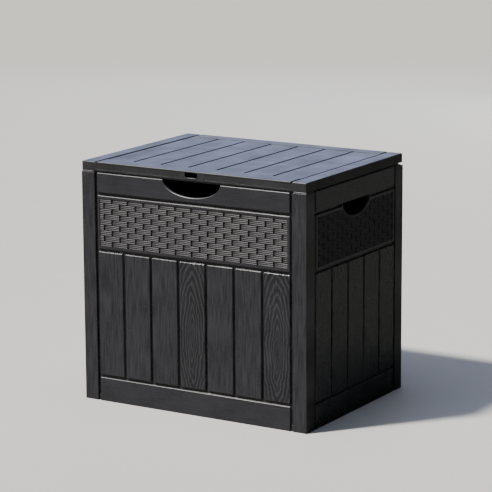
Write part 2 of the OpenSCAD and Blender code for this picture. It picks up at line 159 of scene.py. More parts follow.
@dataclass(frozen=True)
class MouldedResin:
    """Injection-moulded polypropylene, charcoal black: a low satin sheen over a fine spark-eroded grain."""

    name: str = "moulded_resin"
    colour: str = "#242427"
    pale: str = "#2C2C30"
    roughness: float = 0.27
    polish: float = 0.05  # how much smoother the smoothest patches are
    dulling: float = 0.06  # how much rougher the roughest patches are
    ior: float = 1.49
    sheen_level: float = 0.7  # a waxy skin, a little brighter than bare resin
    grain_pitch: float = 0.9 * MM  # drawn about three times coarser than the real grain, so that it shows
    grain_depth: float = 0.02 * MM
    bloom: float = 60 * MM  # size of the soft patches where the melt cooled unevenly
    bloom_low: float = 0.3  # nearly all of the patches' noise lies between these two
    bloom_high: float = 0.7

    def start(self) -> tuple[bpy.types.Material, Node, Socket]:
        """Makes the material without its bump.

        Returns:
            The material, its shader and the piece's own coordinates.
        """
        material = bpy.data.materials.new(self.name)
        material.use_nodes = True
        tree = material.node_tree
        shader = tree.nodes["Principled BSDF"]
        place = add_node(tree, "ShaderNodeTexCoord").outputs["Object"]
        patches = add_node(tree, "ShaderNodeTexNoise", Vector=place, Scale=1 / self.bloom, Detail=3.0)
        colour = add_node(
            tree,
            "ShaderNodeMix",
            {"data_type": "RGBA"},
            Factor=patches.outputs["Fac"],
            _6=linear_rgb(self.colour),
            _7=linear_rgb(self.pale),
        )
        rough = add_node(
            tree,
            "ShaderNodeMapRange",
            Value=patches.outputs["Fac"],
            From_Min=self.bloom_low,
            From_Max=self.bloom_high,
            To_Min=self.roughness - self.polish,
            To_Max=self.roughness + self.dulling,
        )
        tree.links.new(colour.outputs[2], shader.inputs["Base Color"])
        tree.links.new(rough.outputs[0], shader.inputs["Roughness"])
        shader.inputs["IOR"].default_value = self.ior
        shader.inputs["Specular IOR Level"].default_value = self.sheen_level
        return material, shader, place

    def stipple(self, tree: Tree, place: Socket) -> Socket:
        """Adds the height of the fine all-over grain, in metres."""
        dots = add_node(tree, "ShaderNodeTexNoise", Vector=place, Scale=1 / self.grain_pitch, Detail=1.0)
        return math_of(tree, "MULTIPLY", dots.outputs["Fac"], self.grain_depth)

    def close(self, tree: Tree, shader: Node, height: Socket) -> None:
        """Turns a height in metres into the shader's bump."""
        bump = add_node(tree, "ShaderNodeBump", Height=height, Distance=1.0, Strength=1.0)
        tree.links.new(bump.outputs["Normal"], shader.inputs["Normal"])

    def make(self) -> bpy.types.Material:
        """Makes the plain grained resin.

        Returns:
            The material.
        """
        material, shader, place = self.start()
        self.close(material.node_tree, shader, self.stipple(material.node_tree, place))
        return material


@dataclass(frozen=True)
class WoodGrainResin(MouldedResin):
    """The same resin moulded against an engraved wood grain, which runs along each plank.

    The planks stand side by side on the axis `across`, the grain runs on the axis `along`, and the axis
    `facing` points out of the wood-grained faces. Some planks carry the nested arches of a flat-sawn board.
    """

    name: str = "wood_grain_resin"
    across: str = "X"
    along: str = "Z"
    facing: str = "Y"
    plank_pitch: float = 69.5 * MM
    plank_shift: float = 0.37  # moves the grain from one plank to the next
    grain_low: float = 0.0  # the planks lie between these two, and the rails beyond them
    grain_high: float = 1.0
    line_pitch: float = 3.4 * MM  # twice the real spacing, so that the lines show
    line_depth: float = 0.8 * MM
    line_tone: float = 0.42  # how much darker an engraved line, and paler the grain between lines, is painted: painted shade and painted light
    tone_reach: float = 0.2  # the height, as a share of the line depth, at which a line has its full painted shade or light
    rail_share: float = 0.35  # how deep the rails' lines are beside the planks'
    line_detail: float = 3.0  # how many times a line splits into finer ones
    line_fray: float = 0.6  # how strong each finer set of lines is beside the last
    stretch: float = 18.0  # how much longer than wide a line is
    edge_rub: float = 0.13  # how much rougher the rounded edges are
    edge_from: float = 0.86  # cosine of the turn past which a face counts as a rounded edge
    edge_to: float = 0.99  # cosine of the turn up to which it is flat
    arched: tuple[int, ...] = ()  # the planks with arches, counted from the middle of the wall
    middle: float = 0.0  # where along the planks the arches turn round
    arch_pitch: float = 5.0 * MM
    arch_depth: float = 0.32 * MM
    arch_half: float = 30 * MM  # half the width of the ring that fills a plank
    arch_slim: float = 4.6  # how much longer than wide a ring is
    arch_point: float = 1.3  # 2 gives a ring rounded ends, and 1 sharp ones
    arch_crisp: float = 2.0  # how narrow a ridge is beside its valley
    arch_level: float = 0.52  # what a ridge's height is measured from
    wander: float = 15 * MM  # the span that a ring wanders over, sideways
    bends: float = 26.0  # about how often it bends in a metre

    def make(self) -> bpy.types.Material:
        """Makes the wood-grained resin.

        Returns:
            The material.
        """
        material, shader, place = self.start()
        tree = material.node_tree
        split = add_node(tree, "ShaderNodeSeparateXYZ", Vector=place)
        u = split.outputs[self.across]
        v = split.outputs[self.along]
        plank = math_of(tree, "ROUND", math_of(tree, "DIVIDE", u, self.plank_pitch))
        planks = self.planks_mask(tree, v)
        # The planks' grain is drawn out along them, and the rails' across
        moved = math_of(tree, "ADD", u, math_of(tree, "MULTIPLY", plank, self.plank_shift))
        lines = self.lines(tree, moved, math_of(tree, "DIVIDE", v, self.stretch), self.line_depth)
        height = math_of(tree, "MULTIPLY", lines, planks)
        if self.arched:
            inner = math_of(tree, "SUBTRACT", u, math_of(tree, "MULTIPLY", plank, self.plank_pitch))
            arches = self.arches(tree, place, plank, inner, v)
            height = math_of(tree, "ADD", height, math_of(tree, "MULTIPLY", arches, planks))
        rails = math_of(tree, "SUBTRACT", 1.0, planks)
        depth = self.line_depth * self.rail_share
        crossing = self.lines(tree, math_of(tree, "DIVIDE", u, self.stretch), v, depth)
        height = math_of(tree, "ADD", height, math_of(tree, "MULTIPLY", crossing, rails))
        # Painted shade in the engraved lines and painted light on the grain between them
        self.tone(tree, shader, height)
        height = math_of(tree, "ADD", height, self.stipple(tree, place))
        flat = self.flat_mask(tree)
        height = math_of(tree, "MULTIPLY", height, flat)
        self.rub_edges(tree, shader, flat)
        self.close(tree, shader, height)
        return material

    def planks_mask(self, tree: Tree, v: Socket) -> Socket:
        """Gives 1 where the planks are and 0 on the rails that cross them.

        Args:
            tree: the material's node tree.
            v: the place along the planks.

        Returns:
            The mask.
        """
        above = math_of(tree, "GREATER_THAN", v, self.grain_low)
        below = math_of(tree, "LESS_THAN", v, self.grain_high)
        return math_of(tree, "MULTIPLY", above, below)

    def lines(self, tree: Tree, x: Socket, y: Socket, depth: float) -> Socket:
        """Adds straight grain: noise over a plane that has been squeezed along the grain.

        Args:
            tree: the material's node tree.
            x: the plane's first coordinate.
            y: its second coordinate.
            depth: the depth of the deepest lines.

        Returns:
            The height of the grain, evenly above and below zero.
        """
        plane = add_node(tree, "ShaderNodeCombineXYZ", X=x, Y=y, Z=0.0).outputs[0]
        noise = add_node(
            tree,
            "ShaderNodeTexNoise",
            Vector=plane,
            Scale=1 / self.line_pitch,
            Detail=self.line_detail,
            Roughness=self.line_fray,
        ).outputs["Fac"]
        return math_of(tree, "MULTIPLY", math_of(tree, "SUBTRACT", noise, 0.5), depth)

    def tone(self, tree: Tree, shader: Node, height: Socket) -> None:
        """Paints shade into the engraved lines, and light onto the grain between them, by the grain's height.

        Args:
            tree: the material's node tree.
            shader: its shader, whose colour is changed.
            height: the height of the grain.
        """
        base = shader.inputs["Base Color"].links[0].from_socket
        value = add_node(
            tree,
            "ShaderNodeMapRange",
            Value=height,
            From_Min=-self.tone_reach * self.line_depth,
            From_Max=self.tone_reach * self.line_depth,
            To_Min=1 - self.line_tone,
            To_Max=1 + self.line_tone,
        ).outputs[0]
        # The colour is darkened in the grain's hollows and paled on its crests: painted shade and painted
        # light
        shaded = add_node(tree, "ShaderNodeHueSaturation", Value=value, Color=base).outputs[0]
        tree.links.new(shaded, shader.inputs["Base Color"])

    def flat_mask(self, tree: Tree) -> Socket:
        """Gives 1 on the wood-grained faces and 0 on their rounded edges, which have no grain.

        Args:
            tree: the material's node tree.

        Returns:
            The mask.
        """
        normal = add_node(tree, "ShaderNodeTexCoord").outputs["Normal"]
        facing = add_node(tree, "ShaderNodeSeparateXYZ", Vector=normal).outputs[self.facing]
        return add_node(
            tree,
            "ShaderNodeMapRange",
            {"interpolation_type": "SMOOTHSTEP"},
            Value=math_of(tree, "ABSOLUTE", facing),
            From_Min=self.edge_from,
            From_Max=self.edge_to,
        ).outputs[0]

    def rub_edges(self, tree: Tree, shader: Node, flat: Socket) -> None:
        """Roughens the rounded edges, which handling rubs dull.

        Args:
            tree: the material's node tree.
            shader: its shader, whose roughness is changed.
            flat: 1 on the flat faces and 0 on the rounded edges.
        """
        rough = shader.inputs["Roughness"].links[0].from_socket
        rubbed = math_of(tree, "MULTIPLY_ADD", flat, -self.edge_rub, self.edge_rub)
        tree.links.new(math_of(tree, "ADD", rough, rubbed), shader.inputs["Roughness"])

    def arches(self, tree: Tree, place: Socket, plank: Socket, inner: Socket, v: Socket) -> Socket:
        """Adds nested arches on the flat-sawn planks: long slim rings with pointed ends, bent by noise.

        Args:
            tree: the material's node tree.
            place: the piece's own coordinates.
            plank: the plank's number, counted from the middle of the wall.
            inner: the place across that plank, from its middle.
            v: the place along it.

        Returns:
            The height of the arches, which is zero on the other planks.
        """
        noise = add_node(
            tree, "ShaderNodeTexNoise", Vector=place, Scale=self.bends, Detail=2.0
        ).outputs["Fac"]
        bend = math_of(tree, "MULTIPLY", math_of(tree, "SUBTRACT", noise, 0.5), self.wander)
        side = math_of(tree, "DIVIDE", math_of(tree, "ADD", inner, bend), self.arch_half)
        side = math_of(tree, "POWER", math_of(tree, "ABSOLUTE", side), self.arch_point)
        rise = math_of(tree, "SUBTRACT", v, self.middle)
        rise = math_of(tree, "DIVIDE", rise, self.arch_slim * self.arch_half)
        rise = math_of(tree, "MULTIPLY", rise, rise)
        ring = math_of(tree, "SQRT", math_of(tree, "ADD", side, rise))
        turns = 2 * math.pi * self.arch_half / self.arch_pitch
        wave = math_of(tree, "SINE", math_of(tree, "MULTIPLY", ring, turns))
        ridge = math_of(tree, "POWER", math_of(tree, "MULTIPLY_ADD", wave, 0.5, 0.5), self.arch_crisp)
        ridge = math_of(tree, "SUBTRACT", ridge, self.arch_level)
        chosen: Socket | float = 0.0
        for number in self.arched:
            here = math_of(tree, "COMPARE", plank, float(number), 0.25)
            chosen = math_of(tree, "ADD", here, chosen)
        return math_of(tree, "MULTIPLY", math_of(tree, "MULTIPLY", ridge, self.arch_depth), chosen)


@dataclass(frozen=True)
class ZincSteel:
    """Zinc-plated steel: bright grey, with the fine scatter of a barrel-plated finish."""

    name: str = "zinc_plated_steel"
    colour: str = "#A9ACAE"
    roughness: float = 0.32
    polish: float = 0.08  # how much smoother the smoothest specks are
    dulling: float = 0.1  # how much rougher the roughest specks are
    speckle: float = 1.2 * MM

    def make(self) -> bpy.types.Material:
        """Makes the plated steel.

        Returns:
            The material.
        """
        material = bpy.data.materials.new(self.name)
        material.use_nodes = True
        tree = material.node_tree
        shader = tree.nodes["Principled BSDF"]
        place = add_node(tree, "ShaderNodeTexCoord").outputs["Object"]
        noise = add_node(tree, "ShaderNodeTexNoise", Vector=place, Scale=1 / self.speckle, Detail=2.0)
        rough = add_node(
            tree,
            "ShaderNodeMapRange",
            Value=noise.outputs["Fac"],
            To_Min=self.roughness - self.polish,
            To_Max=self.roughness + self.dulling,
        )
        tree.links.new(rough.outputs[0], shader.inputs["Roughness"])
        shader.inputs["Base Color"].default_value = linear_rgb(self.colour)
        shader.inputs["Metallic"].default_value = 1.0
        return material


# ---------------------------------------------------------------- mesh helpers


def linked(name: str, data: bpy.types.ID) -> bpy.types.Object:
    """Makes an object and puts it in the scene.

    Args:
        name: the object's name.
        data: its mesh, light or camera.

    Returns:
        The object.
    """
    thing = bpy.data.objects.new(name, data)
    bpy.context.scene.collection.objects.link(thing)
    return thing


def mesh_from(name: str, shape: bmesh.types.BMesh) -> bpy.types.Mesh:
    """Turns an edited shape into a mesh, and frees the shape.

    Args:
        name: the mesh's name.
        shape: the edited shape.

    Returns:
        The mesh.
    """
    mesh = bpy.data.meshes.new(name)
    shape.to_mesh(mesh)
    shape.free()
    return mesh


def piece_from(name: str, mesh: bpy.types.Mesh, body: str) -> bpy.types.Object:
    """Puts a finished mesh in the scene as a piece of the box.

    Args:
        name: the piece's name.
        mesh: its mesh, already in place.
        body: the CAD body it moves with.

    Returns:
        The piece.
    """
    piece = linked(name, mesh)
    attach(piece, body)
    log.info("%s: %d faces on %s", name, len(mesh.polygons), body)
    return piece


def baked(holder: bpy.types.Object, name: str) -> bpy.types.Mesh:
    """Applies an object's modifiers.

    Args:
        holder: a scratch object, which is removed.
        name: a name for the plain mesh.

    Returns:
        The plain mesh.
    """
    graph = bpy.context.evaluated_depsgraph_get()
    mesh = bpy.data.meshes.new_from_object(holder.evaluated_get(graph))
    mesh.name = name
    bpy.data.objects.remove(holder)
    return mesh


@dataclass
class RoundedMoulding:
    """A moulded piece: its CAD shape, with the small radius that moulding leaves on every outer edge."""

    node: str
    body: str = "box"
    slot: str = "resin"
    radius: float = 2.6 * MM
    segments: int = 4
    share: float = 0.42  # how much of a narrow face its edge's radius may take
    crisp_zone: tuple[float, float] = (0.0, 0.0)  # the heights between which a sunk field's ledge stays crisp
    ledge: float = 3.2 * MM  # the widest such ledge
    same_point: float = 0.002 * MM
    same_plane: float = math.radians(0.4)
    soft_turn: float = math.radians(35)  # a turn below this is part of a curve and no edge
    even_weight: int = 80  # how much a large face rules the shading round it

    def merged(self) -> bmesh.types.BMesh:
        """Gives the CAD shape with its loose triangles merged into flat faces.

        Returns:
            The shape, which the caller frees.
        """
        shape = bmesh.new()
        shape.from_mesh(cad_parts[self.node].data)
        bmesh.ops.remove_doubles(shape, verts=shape.verts, dist=self.same_point)
        bmesh.ops.dissolve_limit(
            shape,
            angle_limit=self.same_plane,
            verts=shape.verts,
            edges=shape.edges,
            use_dissolve_boundaries=False,
        )
        return shape

    def breadth(self, face: bmesh.types.BMFace) -> float:
        """Gives a face's width across its longest edge."""
        return face.calc_area() / max(edge.calc_length() for edge in face.edges)

    def clearance(self, edge: bmesh.types.BMEdge) -> float:
        """Gives the distance from an edge to the nearest corner of its faces, past its own neighbours.

        Args:
            edge: the edge that will be rounded.

        Returns:
            The distance, which is infinite where there is no such corner.
        """
        start, end = (v.co for v in edge.verts)
        along = end - start
        span = along.length_squared
        near = math.inf
        for face in edge.link_faces:
            corners = list(face.verts)
            for i, corner in enumerate(corners):
                beside = {corners[i - 1], corner, corners[(i + 1) % len(corners)]}
                if beside & set(edge.verts):
                    continue
                share = min(1.0, max(0.0, (corner.co - start).dot(along) / span))
                near = min(near, (corner.co - start - along * share).length)
        return near

    def is_crisp(self, edge: bmesh.types.BMEdge, narrow: float) -> bool:
        """Tells whether an edge belongs to the ledge round a sunk field."""
        low, high = self.crisp_zone
        return narrow < self.ledge and all(low < v.co.z < high for v in edge.verts)

    def mark_edges(self, shape: bmesh.types.BMesh) -> None:
        """Gives each outward edge the radius that its neighbours leave room for, and keeps the others sharp.

        Args:
            shape: the merged shape, whose edges get a bevel weight.
        """
        weight = shape.edges.layers.float.new("bevel_weight_edge")
        for edge in shape.edges:
            turn = edge.calc_face_angle(0.0)
            edge.smooth = turn < self.soft_turn
            if len(edge.link_faces) != 2 or not edge.is_convex or turn < self.soft_turn:
                continue
            narrow = min(self.breadth(face) for face in edge.link_faces)
            if self.is_crisp(edge, narrow):
                continue
            room = min(narrow, self.clearance(edge)) * self.share
            edge[weight] = min(1.0, room / self.radius)
            edge.smooth = True

    def make(self, material: bpy.types.Material) -> bpy.types.Object:
        """Builds the piece and lets it stand for its CAD node.

        Args:
            material: its finish.

        Returns:
            The piece.
        """
        shape = self.merged()
        self.mark_edges(shape)
        for face in shape.faces:
            face.smooth = True
        holder = linked("holder", mesh_from(self.node, shape))
        bevel = holder.modifiers.new("radius", "BEVEL")
        bevel.limit_method = "WEIGHT"
        bevel.width = self.radius
        bevel.segments = self.segments
        bevel.use_clamp_overlap = False
        bevel.miter_outer = "MITER_SHARP"
        even = holder.modifiers.new("even_shading", "WEIGHTED_NORMAL")
        even.keep_sharp = True
        even.weight = self.even_weight
        finished = baked(holder, f"{self.node}_mesh")
        finished.materials.clear()
        finished.materials.append(material)
        piece = piece_from(f"{self.node}_moulding", finished, self.body)
        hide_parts(self.node)
        return piece


# ---------------------------------------------------------------- woven bands


@dataclass
class WovenBand:
    """A band of moulded basket weave in a wall panel: staggered strips, each of three raised strands.

    It is drawn on the front wall, as if that stood on the XZ plane, and then turned to its own wall.
    """

    wall: Wall
    half: float  # half the band's length
    z_low: float
    z_high: float
    face: float  # distance of the sunk field from the middle of the box
    opening: tuple[float, float, float] | None = None  # half width, depth and top of a handle opening's rim
    strip_pitch: float = 40.4 * MM
    strip_gap: float = 5.0 * MM
    rows: int = 9
    row_gap: float = 0.5 * MM
    rise: float = 2.85 * MM  # how far a strip stands out where it is proudest
    dip: float = 1.95 * MM  # how far it stands out where it goes under the next row
    crest: float = 0.35  # where it is proudest, from -1 at its left end to 1 at its right end
    strands: int = 3
    strand_depth: float = 1.05 * MM
    cells_along: int = 8
    cells_across: int = 4  # in each strand
    sharp_turn: float = math.radians(45)
    overhang: float = 0.45  # a strip is laid if its middle is within this share of its length past the band
    rim_steps: int = 32
    cutter_room: float = 5.0 * MM  # how far the opening's cutter runs past the strips

    @property
    def row_height(self) -> float:
        """The height of one row of strips."""
        return (self.z_high - self.z_low) / self.rows

    @property
    def strip_length(self) -> float:
        """The length of one strip."""
        return self.strip_pitch - self.strip_gap

    def strip_grid(self, shape: bmesh.types.BMesh) -> list[list[bmesh.types.BMVert]]:
        """Lays out the raised side of a strip.

        Args:
            shape: the shape that the points are added to.

        Returns:
            The points, column by column from the left end.
        """
        height = self.row_height - self.row_gap
        levels = self.cells_across * self.strands
        grid = []
        for i in range(self.cells_along + 1):
            u = 2 * i / self.cells_along - 1
            # The strip falls to its dip at the left end, and only half as steeply to the right
            lean = (u - self.crest) / (1 + self.crest if u < self.crest else 2 * (1 - self.crest))
            bulge = self.dip + (self.rise - self.dip) * math.cos(lean * math.pi / 2)
            column = []
            for k in range(levels + 1):
                round_strand = math.sin(math.pi * (k % self.cells_across) / self.cells_across)
                valley = self.strand_depth * (bulge / self.rise) * (1 - round_strand)
                place = (u * self.strip_length / 2, -(bulge - valley), (k / levels - 0.5) * height)
                column.append(shape.verts.new(place))
            grid.append(column)
        return grid

    def strip(self) -> bpy.types.Object:
        """Makes one strip, centred on the origin, with its back on y = 0 and its bulge towards -y.

        Returns:
            The strip, as a scratch object.
        """
        shape = bmesh.new()
        grid = self.strip_grid(shape)
        for left, right in zip(grid, grid[1:]):
            for k in range(len(left) - 1):
                shape.faces.new((left[k], right[k], right[k + 1], left[k + 1]))
        rim = [c[0] for c in grid] + grid[-1][1:] + [c[-1] for c in grid[-2::-1]] + grid[0][-2:0:-1]
        foot = [shape.verts.new((v.co.x, 0.0, v.co.z)) for v in rim]
        for i, corner in enumerate(rim):
            after = (i + 1) % len(rim)
            shape.faces.new((corner, foot[i], foot[after], rim[after]))
        shape.faces.new(foot)
        bmesh.ops.recalc_face_normals(shape, faces=shape.faces)
        for face in shape.faces:
            face.smooth = True
        for edge in shape.edges:
            edge.smooth = edge.calc_face_angle(0.0) < self.sharp_turn
        return linked("woven_strip", mesh_from("woven_strip", shape))

    def tree(self, strip: bpy.types.Object, material: bpy.types.Material) -> Tree:
        """Builds the node tree that lays strips in staggered rows over the whole band.

        Args:
            strip: the strip that is repeated.
            material: the weave's finish.

        Returns:
            The node tree.
        """
        tree = bpy.data.node_groups.new("basket_weave", "GeometryNodeTree")
        tree.interface.new_socket("Geometry", in_out="OUTPUT", socket_type="NodeSocketGeometry")
        for name in ("Pitch", "Row height", "Half length", "Top", "Strip length"):
            tree.interface.new_socket(name, in_out="INPUT", socket_type="NodeSocketFloat")
        for name in ("Columns", "Rows"):
            tree.interface.new_socket(name, in_out="INPUT", socket_type="NodeSocketInt")
        given = tree.nodes.new("NodeGroupInput").outputs
        columns = given["Columns"]
        points = add_node(
            tree, "GeometryNodePoints", Count=math_of(tree, "MULTIPLY", columns, given["Rows"])
        ).outputs[0]
        # Each point's row and column, counted from the left end of the top row
        number = add_node(tree, "GeometryNodeInputIndex").outputs[0]
        row = math_of(tree, "FLOOR", math_of(tree, "DIVIDE", math_of(tree, "ADD", number, 0.5), columns))
        column = math_of(tree, "SUBTRACT", number, math_of(tree, "MULTIPLY", row, columns))
        middle = math_of(tree, "DIVIDE", math_of(tree, "SUBTRACT", columns, 1.0), 2.0)
        centred = math_of(tree, "SUBTRACT", column, middle)
        # Every other row is half a strip to the right
        odd = math_of(tree, "MODULO", math_of(tree, "ADD", row, 1.0), 2.0)
        x = math_of(tree, "MULTIPLY", math_of(tree, "MULTIPLY_ADD", odd, 0.5, centred), given["Pitch"])
        down = math_of(tree, "MULTIPLY", math_of(tree, "ADD", row, 0.5), given["Row height"])
        z = math_of(tree, "SUBTRACT", given["Top"], down)
        place = add_node(tree, "ShaderNodeCombineXYZ", X=x, Z=z).outputs[0]
        laid = add_node(tree, "GeometryNodeSetPosition", Geometry=points, Position=place).outputs[0]
        past = math_of(tree, "MULTIPLY", given["Strip length"], self.overhang)
        reach = math_of(tree, "ADD", given["Half length"], past)
        outside = math_of(tree, "GREATER_THAN", math_of(tree, "ABSOLUTE", x), reach)
        kept = add_node(
            tree, "GeometryNodeDeleteGeometry", {"domain": "POINT"}, Geometry=laid, Selection=outside
        ).outputs[0]
        source = add_node(tree, "GeometryNodeObjectInfo", Object=strip).outputs["Geometry"]
        strips = add_node(tree, "GeometryNodeInstanceOnPoints", Points=kept, Instance=source).outputs[0]
        solid = add_node(tree, "GeometryNodeRealizeInstances", Geometry=strips).outputs[0]
        done = add_node(tree, "GeometryNodeSetMaterial", Geometry=solid, Material=material).outputs[0]
        tree.links.new(done, tree.nodes.new("NodeGroupOutput").inputs[0])
        return tree

    def lay_strips(self, material: bpy.types.Material) -> bpy.types.Mesh:
        """Lays the strips over the band.

        Args:
            material: the weave's finish.

        Returns:
            The strips, which run a little past both ends of the band.
        """
        strip = self.strip()
        holder = linked("holder", bpy.data.meshes.new("holder"))
        weave = holder.modifiers.new("weave", "NODES")
        weave.node_group = self.tree(strip, material)
        sizes = {
            "Pitch": self.strip_pitch,
            "Row height": self.row_height,
            "Half length": self.half,
            "Top": self.z_high,
            "Strip length": self.strip_length,
            "Columns": 2 * math.ceil(self.half / self.strip_pitch) + 3,
            "Rows": self.rows,
        }
        for item in weave.node_group.interface.items_tree:
            if item.item_type == "SOCKET" and item.in_out == "INPUT":
                weave[item.identifier] = sizes[item.name]
        mesh = baked(holder, f"{self.wall.title}_weave_mesh")
        bpy.data.objects.remove(strip)
        return mesh

    def trim_ends(self, mesh: bpy.types.Mesh) -> None:
        """Cuts the strips off square at both ends of the band.

        Args:
            mesh: the strips, which are changed in place.
        """
        shape = bmesh.new()
        shape.from_mesh(mesh)
        for side in (-1, 1):
            cut = bmesh.ops.bisect_plane(
                shape,
                geom=[*shape.verts, *shape.edges, *shape.faces],
                plane_co=(side * self.half, 0, 0),
                plane_no=(side, 0, 0),
                clear_outer=True,
            )
            rim = [item for item in cut["geom_cut"] if isinstance(item, bmesh.types.BMEdge)]
            for edge in rim:
                edge.smooth = False
            bmesh.ops.holes_fill(shape, edges=rim, sides=0)
        shape.to_mesh(mesh)
        shape.free()

    def opening_cutter(self) -> bpy.types.Object:
        """Makes a solid the shape of the handle opening's rim, deep enough to pass through every strip.

        Returns:
            The cutter, as a scratch object.
        """
        half, deep, top = self.opening
        room = self.cutter_room
        shape = bmesh.new()
        arc = [math.pi * (1 + i / self.rim_steps) for i in range(self.rim_steps + 1)]
        outline = [(half * math.cos(t), top + deep * math.sin(t)) for t in arc]
        outline += [(half, top + room), (-half, top + room)]
        front = [shape.verts.new((x, -room, z)) for x, z in outline]
        back = [shape.verts.new((x, room, z)) for x, z in outline]
        shape.faces.new(front)
        shape.faces.new(back[::-1])
        for i, corner in enumerate(front):
            after = (i + 1) % len(front)
            shape.faces.new((corner, back[i], back[after], front[after]))
        bmesh.ops.recalc_face_normals(shape, faces=shape.faces)
        return linked("opening_cutter", mesh_from("opening_cutter", shape))

    def cut_opening(self, mesh: bpy.types.Mesh) -> bpy.types.Mesh:
        """Trims the strips to the rim of the handle opening.

        Args:
            mesh: the strips.

        Returns:
            The trimmed strips.
        """
        cutter = self.opening_cutter()
        holder = linked("holder", mesh)
        cut = holder.modifiers.new("opening", "BOOLEAN")
        cut.operation = "DIFFERENCE"
        cut.solver = "EXACT"
        cut.object = cutter
        trimmed = baked(holder, mesh.name)
        bpy.data.objects.remove(cutter)
        return trimmed

    def make(self, material: bpy.types.Material) -> bpy.types.Object:
        """Builds the band as one plain mesh on its wall.

        Args:
            material: its finish.

        Returns:
            The piece.
        """
        mesh = self.lay_strips(material)
        self.trim_ends(mesh)
        if self.opening:
            mesh = self.cut_opening(mesh)
        mesh.transform(self.wall.turn @ Matrix.Translation((0, -self.face, 0)))
        return piece_from(f"{self.wall.title}_weave", mesh, "box")


# ---------------------------------------------------------------- the box


@dataclass
class Body:
    """The standing part of the box: four panels, four posts, the floor tray, the cups and their screws."""

    post: float = 34 * MM
    gap: float = 6 * MM  # the shadow line between a post and a panel, and between two planks
    band_low: float = 340 * MM
    band_high: float = 457.5 * MM
    border: float = 5 * MM  # the plain edge round a woven band
    field_drop: float = 3 * MM  # how deep the woven field is sunk
    weave_room: float = 0.8 * MM  # between the weave's ends and the field's
    hand_rim: tuple[float, float] = (63.2 * MM, 37.2 * MM)  # outside of a handle opening's rim
    hand_top: float = 463.5 * MM
    plank_low: float = 56 * MM
    plank_high: float = 337 * MM
    long_planks: int = 7
    short_planks: int = 5
    long_arched: tuple[int, ...] = (0, 3)
    short_arched: tuple[int, ...] = (-1, 2)
    arch_middle: float = 170 * MM
    no_planks: float = 1.0  # wider and lower than any post reaches, so that one plank covers them all
    post_line_depth: float = 0.35 * MM
    posts: tuple[str, ...] = ("front_left_post", "front_right_post", "rear_left_post", "rear_right_post")
    cups: tuple[str, ...] = ("front_grip_cup", "left_hand_cup", "right_hand_cup")
    hardware: tuple[str, ...] = ("base_screws", "corner_screws", "cup_screws", "lip_screws")
    pins: tuple[str, ...] = ("hinge_pin_left", "hinge_pin_right")

    def half_panel(self, wall: Wall) -> float:
        """Gives half the width of a wall's panel as it shows between the posts."""
        far = CAD_BOX[1]
        return (far.x if wall.is_long else far.y) - self.post - self.gap

    def panel_finish(self, wall: Wall) -> bpy.types.Material:
        """Makes the wood-grained resin of one wall.

        Args:
            wall: the wall.

        Returns:
            The material.
        """
        planks = self.long_planks if wall.is_long else self.short_planks
        return WoodGrainResin(
            name=f"{wall.node}_resin",
            across="X" if wall.is_long else "Y",
            facing="Y" if wall.is_long else "X",
            plank_pitch=(2 * self.half_panel(wall) + self.gap) / planks,
            grain_low=self.plank_low,
            grain_high=self.plank_high,
            arched=self.long_arched if wall.is_long else self.short_arched,
            middle=self.arch_middle,
        ).make()

    def weave_band(self, wall: Wall) -> WovenBand:
        """Sizes the woven band of one wall.

        Args:
            wall: the wall.

        Returns:
            The band, not yet built.
        """
        far = CAD_BOX[1]
        return WovenBand(
            wall,
            half=self.half_panel(wall) - self.border - self.weave_room,
            z_low=self.band_low + self.border,
            z_high=self.band_high - self.border,
            face=(far.y if wall.is_long else far.x) - self.field_drop,
            opening=None if wall.is_long else (*self.hand_rim, self.hand_top),
        )

    def make_walls(self) -> None:
        """Builds the four panels and their woven bands."""
        weave_resin = MouldedResin(name="woven_resin", roughness=0.47, sheen_level=0.35).make()
        field_edge = (self.band_low + self.gap / 2, self.band_high - self.gap / 2)
        for wall in Wall:
            RoundedMoulding(wall.node, crisp_zone=field_edge).make(self.panel_finish(wall))
            self.weave_band(wall).make(weave_resin)

    def make_posts(self) -> None:
        """Builds the corner posts, whose grain runs straight up, with no planks or rails."""
        resin = WoodGrainResin(
            name="post_resin",
            plank_pitch=self.no_planks,
            line_depth=self.post_line_depth,
            grain_low=-self.no_planks,
        ).make()
        for node in self.posts:
            RoundedMoulding(node, radius=2.2 * MM).make(resin)

    def make_inside(self) -> None:
        """Builds the tray and the cups, in plain grained resin."""
        resin = MouldedResin(name="inner_resin").make()
        for node in ("base_tray", *self.cups):
            RoundedMoulding(node, radius=0.8 * MM).make(resin)

    def dress_hardware(self) -> None:
        """Gives the pins and screws their plating."""
        steel = ZincSteel().make()
        for node in (*self.hardware, *self.pins):
            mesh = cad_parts[node].data
            mesh.materials.clear()
            mesh.materials.append(steel)

    def make(self) -> None:
        """Builds all that stands still when the lid opens."""
        self.make_walls()
        self.make_posts()
        self.make_inside()
        self.dress_hardware()


@dataclass
class Lid:
    """The hinged lid: a framed field of planks over a shallow skirt."""

    front_rail: float = 42 * MM
    back_rail: float = 34 * MM
    side_rail: float = 40 * MM
    plank_gap: float = 6 * MM
    planks: int = 7

    def make(self) -> bpy.types.Object:
        """Builds the lid, its grain running from front to back.

        Returns:
            The lid.
        """
        low, high = CAD_BOX
        resin = WoodGrainResin(
            name="lid_resin",
            # The lid's resin is painted darker than the walls' same resin: painted shade that offsets the
            # stronger light on its top
            colour="#18181C",
            pale="#1C1C21",
            sheen_level=0.8,
            roughness=0.36,
            across="X",
            along="Y",
            facing="Z",
            plank_pitch=(2 * (high.x - self.side_rail) + self.plank_gap) / self.planks,
            grain_low=low.y + self.front_rail,
            grain_high=high.y - self.back_rail,
            line_depth=0.3 * MM,
        ).make()
        return RoundedMoulding("lid", body="lid", radius=2.4 * MM).make(resin)


# ---------------------------------------------------------------- studio


